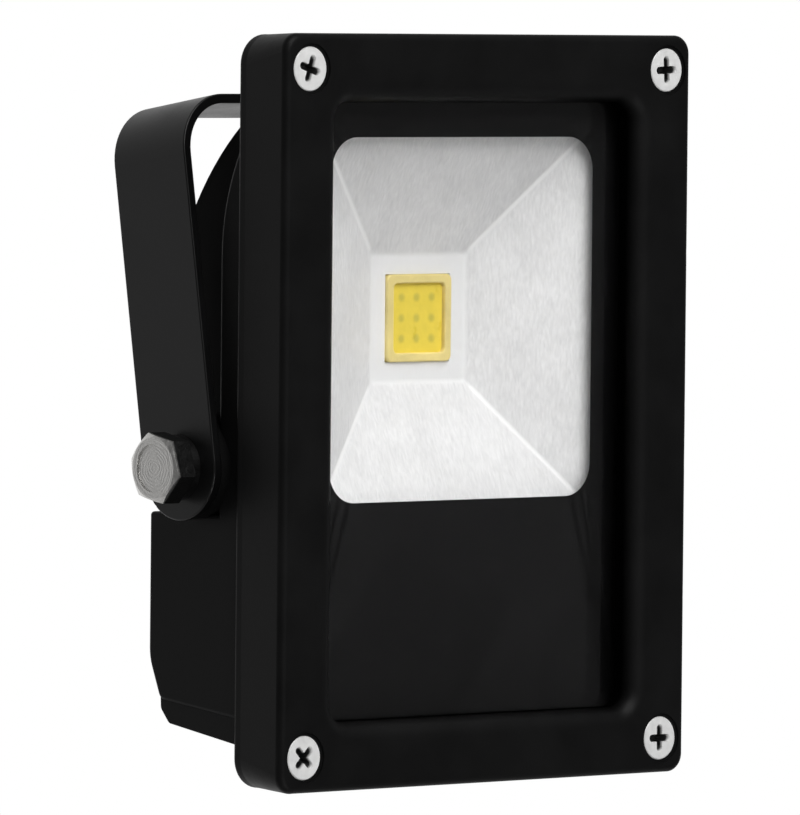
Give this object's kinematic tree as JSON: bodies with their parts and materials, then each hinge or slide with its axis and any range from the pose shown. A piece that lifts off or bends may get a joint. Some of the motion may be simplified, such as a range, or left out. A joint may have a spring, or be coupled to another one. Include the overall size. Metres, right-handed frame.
{
  "type": "led floodlight",
  "caption": "Small square-cornered LED floodlight with cast finned housing, recessed glass, faceted reflector, COB LED and a U bracket that it tilts in.",
  "frame": {"origin": "centre of the bracket's mounting hole, on the outer face of the crossbar", "axes": "+Z out of the crossbar's outer face, away from the lamp; X along the crossbar and the bolt axis; -Y the side the lamp shines to"},
  "size_m": [0.0998, 0.0605, 0.1153],
  "materials": {
    "black_paint": "semi-gloss black powder coat on strip steel",
    "painted_casting": "die-cast, with a semi-gloss black powder coat",
    "dark_steel": "blackened spring steel",
    "zinc_steel": "bright zinc-plated steel",
    "clear_glass": "clear polished glass",
    "black_print": "black screen print on the back of the glass",
    "silicone": "matte black silicone",
    "satin_aluminium": "fine brushed satin",
    "led_metal": "satin plated metal base",
    "tinned_copper": "tinned",
    "led_plastic": "warm translucent moulding",
    "phosphor": "yellow phosphor silicone",
    "led_chip": "chip",
    "grey_silicone": "matte",
    "board_green": "solder mask",
    "sheet_plastic": "matte film",
    "ferrite": "sintered ferrite",
    "winding_tape": "yellow winding tape",
    "capacitor_sleeve": "printed-free shrink sleeve",
    "film_blue": "dipped epoxy",
    "chip_black": "moulded epoxy",
    "terminal_green": "moulded",
    "wire_red": "PVC insulation",
    "wire_black": "PVC insulation",
    "black_plastic": "moulded nylon"
  },
  "bodies": {
    "bracket": {"bracket": "black_paint"},
    "head": {"front_frame": "painted_casting", "housing": "painted_casting", "bracket_bolts": "zinc_steel", "spring_washers": "dark_steel", "frame_screws": "zinc_steel", "board_screws": "zinc_steel", "front_glass": "clear_glass", "glass_print": "black_print", "glass_seal": "silicone", "housing_seal": "silicone", "reflector": "satin_aluminium", "led_base": "led_metal", "led_leads": "tinned_copper", "led_rim": "led_plastic", "led_phosphor": "phosphor", "led_dies": "led_chip", "thermal_pad": "grey_silicone", "driver_board": "board_green", "insulation_sheet": "sheet_plastic", "transformer_core": "ferrite", "driver_transformer": "winding_tape", "driver_capacitors": "capacitor_sleeve", "driver_inductor": "ferrite", "film_capacitor": "film_blue", "driver_fuse": "film_blue", "driver_chips": "chip_black", "supply_terminal": "terminal_green", "lead_red": "wire_red", "lead_black": "wire_black", "gland_body": "black_plastic", "gland_nut": "black_plastic", "gland_locknut": "black_plastic", "gland_seal": "silicone", "gland_washer": "silicone"}
  },
  "joints": [
    {"name": "head_tilt", "type": "hinge", "parent": "bracket", "child": "head", "pos_m": [0, 0, -0.0565], "axis": [1, 0, 0], "range_deg": [-9, 171]}
  ]
}
